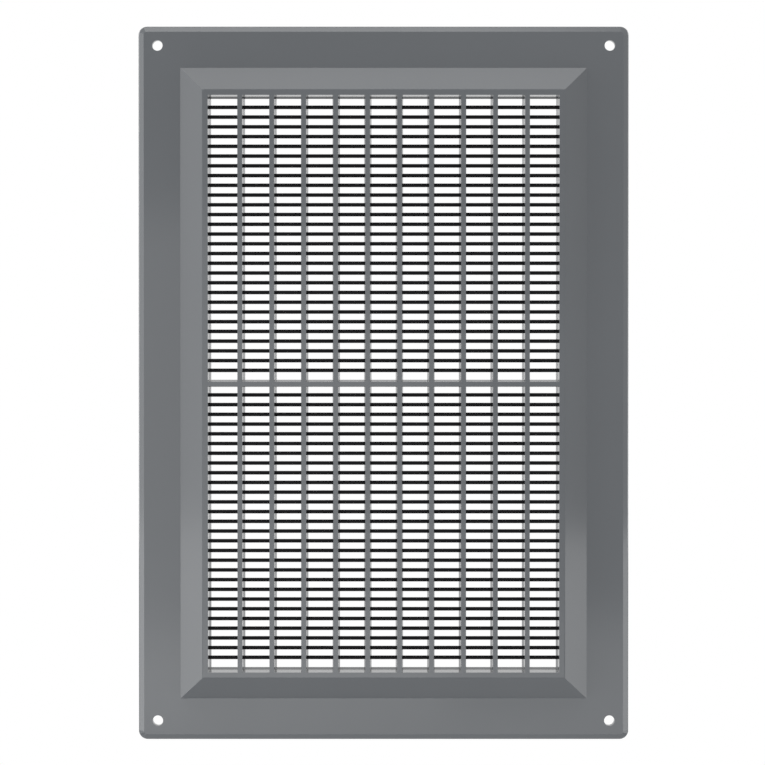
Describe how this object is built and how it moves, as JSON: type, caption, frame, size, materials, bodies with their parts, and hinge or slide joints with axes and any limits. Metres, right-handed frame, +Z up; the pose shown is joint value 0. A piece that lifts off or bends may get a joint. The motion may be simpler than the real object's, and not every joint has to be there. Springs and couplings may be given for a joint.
{
  "type": "ventilation grille",
  "caption": "Flat rectangular wall grille with a bevelled raised border, screw holes in its corners, upright bars and thin level slats that let air through.",
  "frame": {"origin": "middle of the back, on the wall plane, at the centre of the four screw holes", "axes": "+Z up along the long side, +X across, +Y into the wall, so that the front faces -Y"},
  "size_m": [0.165, 0.009, 0.24],
  "materials": {
    "moulding": "smooth injection-moulded grey plastic with a soft shine"
  },
  "bodies": {
    "root": {"grille": "moulding"}
  },
  "joints": []
}
